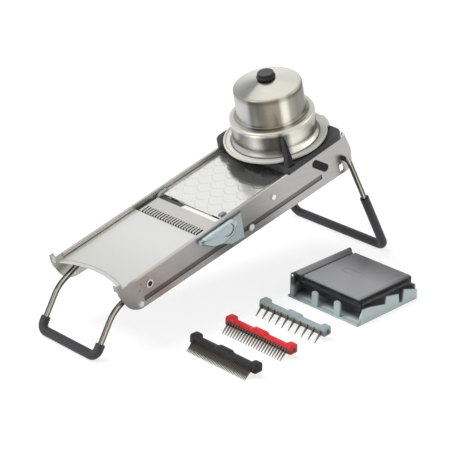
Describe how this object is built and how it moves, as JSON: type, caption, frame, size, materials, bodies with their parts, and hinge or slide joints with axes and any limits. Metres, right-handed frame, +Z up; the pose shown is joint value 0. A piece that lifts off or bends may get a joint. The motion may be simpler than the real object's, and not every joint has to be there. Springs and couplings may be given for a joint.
{
  "type": "mandoline slicer",
  "caption": "Sloping steel kitchen slicer on folding wire legs, with a sliding domed food pusher, a thickness lever, loose comb inserts and their storage case.",
  "frame": {"origin": "on the table under the middle of the front foot's bar", "axes": "+X from the front foot to the high end, +Y across to the far side, +Z up"},
  "size_m": [0.4569, 0.2723, 0.2478],
  "materials": {
    "steel_sheet": "brushed satin sheet",
    "bright_plate": "smooth bright sheet",
    "dome_steel": "spun and brushed",
    "chrome_wire": "polished",
    "black_rubber": "matt",
    "black_plastic": "satin",
    "grey_plastic": "satin",
    "red_plastic": "gloss",
    "pale_plastic": "satin, slightly translucent",
    "comb_steel": "ground"
  },
  "bodies": {
    "frame": {"near_side_wall": "steel_sheet", "far_side_wall": "steel_sheet", "output_plate": "bright_plate", "slicing_blade": "bright_plate", "blade_cradle": "grey_plastic", "infeed_hinge_blocks": "black_plastic", "rail_ledges": "black_plastic", "wall_rivets": "chrome_wire", "cross_tie_rod": "chrome_wire", "lever_panel": "grey_plastic", "far_shaft_block": "grey_plastic"},
    "infeed": {"infeed_plate": "bright_plate", "infeed_hinge_pin": "chrome_wire"},
    "lever": {"thickness_lever": "grey_plastic", "lever_shaft": "chrome_wire", "lever_cams": "black_plastic"},
    "button": {"lock_button": "black_plastic"},
    "carriage": {"carriage_plate": "black_plastic", "carriage_fin": "black_plastic"},
    "dome": {"dome_flange_ring": "pale_plastic", "dome_shell": "dome_steel"},
    "pusher": {"pusher_knob": "black_plastic", "pusher_rod": "chrome_wire", "food_plate": "black_plastic", "food_spikes": "chrome_wire"},
    "front_leg": {"front_leg_wire": "chrome_wire", "front_leg_sleeve": "black_rubber", "front_leg_caps": "chrome_wire"},
    "rear_leg": {"rear_leg_wire": "chrome_wire", "rear_leg_sleeve": "black_rubber", "rear_leg_caps": "chrome_wire"},
    "black_insert": {"black_insert_bar": "black_plastic", "black_insert_comb": "comb_steel"},
    "red_insert": {"red_insert_bar": "red_plastic", "red_insert_comb": "comb_steel"},
    "grey_insert": {"grey_insert_bar": "grey_plastic", "grey_insert_comb": "comb_steel"},
    "case": {"case_tray": "grey_plastic", "case_hinge_pin": "chrome_wire"},
    "case_lid": {"case_lid": "black_plastic"}
  },
  "joints": [
    {"name": "carriage_slide", "type": "slide", "parent": "frame", "child": "carriage", "axis": [-0.972, 0, -0.2351], "range_m": [0, 0.2]},
    {"name": "dome_spin", "type": "hinge", "parent": "carriage", "child": "dome", "pos_m": [0.32429, 0, 0.16117], "axis": [-0.2351, 0, 0.972], "continuous": true},
    {"name": "pusher_pull", "type": "slide", "parent": "dome", "child": "pusher", "axis": [-0.2351, 0, 0.972], "range_m": [0, 0.055]},
    {"name": "front_leg_fold", "type": "hinge", "parent": "frame", "child": "front_leg", "pos_m": [0.06957, 0, 0.07434], "axis": [0, -1, 0], "range_deg": [0, 138]},
    {"name": "rear_leg_fold", "type": "hinge", "parent": "frame", "child": "rear_leg", "pos_m": [0.38254, 0, 0.1339], "axis": [0, 1, 0], "range_deg": [0, 90]},
    {"name": "lever_turn", "type": "hinge", "parent": "frame", "child": "lever", "pos_m": [0.19726, 0, 0.10575], "axis": [0, -1, 0], "range_deg": [0, 60]},
    {"name": "infeed_tilt", "type": "hinge", "parent": "frame", "child": "infeed", "pos_m": [0.36615, 0, 0.14763], "axis": [0, -1, 0], "range_deg": [0, 0.92]},
    {"name": "button_press", "type": "slide", "parent": "frame", "child": "button", "axis": [0, 1, 0], "range_m": [0, 0.0025], "stiffness_N_per_m": 400},
    {"name": "black_insert_lift", "type": "slide", "parent": "frame", "child": "black_insert", "axis": [0, 0, 1], "range_m": [0, 0.1]},
    {"name": "red_insert_lift", "type": "slide", "parent": "frame", "child": "red_insert", "axis": [0, 0, 1], "range_m": [0, 0.1]},
    {"name": "grey_insert_lift", "type": "slide", "parent": "frame", "child": "grey_insert", "axis": [0, 0, 1], "range_m": [0, 0.1]},
    {"name": "case_lift", "type": "slide", "parent": "frame", "child": "case", "axis": [0, 0, 1], "range_m": [0, 0.1]},
    {"name": "case_lid_open", "type": "hinge", "parent": "case", "child": "case_lid", "pos_m": [0.3159, -0.0865, 0.029], "axis": [-1, 0, 0], "range_deg": [0, 100]}
  ],
  "couplings": [
    {"joint": "infeed_tilt", "follows": "lever_turn", "ratio": 0.015333}
  ]
}
